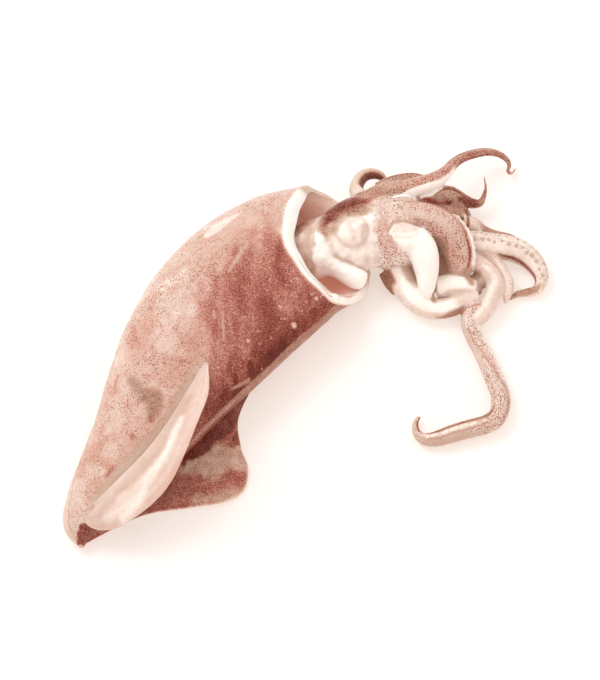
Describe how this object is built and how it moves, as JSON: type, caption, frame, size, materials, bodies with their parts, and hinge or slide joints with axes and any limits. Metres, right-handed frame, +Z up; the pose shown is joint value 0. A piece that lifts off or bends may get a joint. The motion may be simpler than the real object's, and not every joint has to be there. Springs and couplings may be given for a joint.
{
  "type": "raw squid",
  "caption": "Whole raw squid lying on its side, with an open mantle, two fins, a head with eyes and funnel, and loosely curled arms and tentacles.",
  "frame": {"origin": "under the middle of the bounding box, on the surface it lies on", "axes": "+Z up from that surface; +X the longest side, from the tail end towards the arms"},
  "size_m": [0.238, 0.2142, 0.0423],
  "materials": {
    "skin": "wet, glossy raw skin: pale pink with fine red-brown dots, dark brown-red on the back, white on the under side of the arms, the fins and the cut rim",
    "suckers": "wet, off-white, soft"
  },
  "bodies": {
    "root": {"squid": "skin"}
  },
  "joints": []
}
